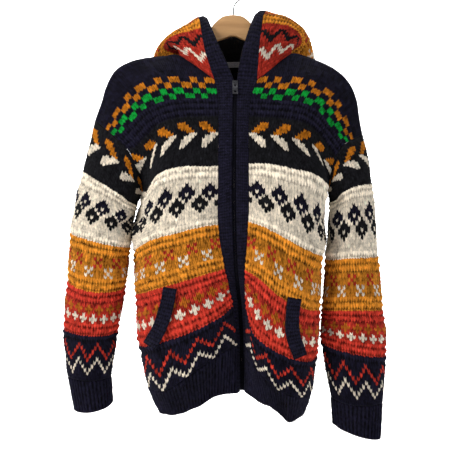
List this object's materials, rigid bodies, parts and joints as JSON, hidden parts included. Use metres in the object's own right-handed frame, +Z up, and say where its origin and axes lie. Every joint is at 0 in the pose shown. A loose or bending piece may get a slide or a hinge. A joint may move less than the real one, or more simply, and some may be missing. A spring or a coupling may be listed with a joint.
{
  "type": "knit jacket on hanger",
  "caption": "Hooded jacket of thick patterned hand knit wool with a front zip, slanted pockets and ribbed edges, hanging open at neck, hem and cuffs on a wooden coat hanger",
  "frame": {"origin": "The seat inside the hanger's hook, where a rail carries it, which is mount hook", "axes": "+Z is up, -Y is the jacket's front, and +X is to the right as seen from the front"},
  "size_m": [0.6024, 0.2821, 0.855],
  "materials": {
    "knit": "chunky hand knit wool in red, navy, black, gold, cream and green",
    "navy_knit": "navy ribbed wool",
    "fleece": "black brushed fleece",
    "label": "plain woven tape",
    "zip_tape": "woven navy tape",
    "metal": "dark gunmetal",
    "wood": "clear lacquered light wood",
    "wire": "bright plated wire"
  },
  "bodies": {
    "jacket": {"front_left": "knit", "front_right": "knit", "back": "knit", "sleeve_left": "knit", "sleeve_right": "knit", "hood_left": "knit", "hood_right": "knit", "hem_front_left": "navy_knit", "hem_front_right": "navy_knit", "hem_back": "navy_knit", "cuff_left": "navy_knit", "cuff_right": "navy_knit", "front_band_left": "navy_knit", "front_band_right": "navy_knit", "hood_rim_left": "navy_knit", "hood_rim_right": "navy_knit", "pocket_welt_left": "navy_knit", "pocket_welt_right": "navy_knit", "hood_lining_left": "fleece", "hood_lining_right": "fleece", "neck_label": "label", "zip_tape_left": "zip_tape", "zip_tape_right": "zip_tape", "zip_chain": "metal", "zip_slider": "metal", "hanger_body": "wood", "hanger_hook": "wire"},
    "pull": {"zip_pull": "metal"}
  },
  "joints": [
    {"name": "pull_swing", "type": "hinge", "parent": "jacket", "child": "pull", "pos_m": [0.0016, -0.08123, -0.1959], "axis": [1, 0, 0], "range_deg": [-95, 0]}
  ]
}
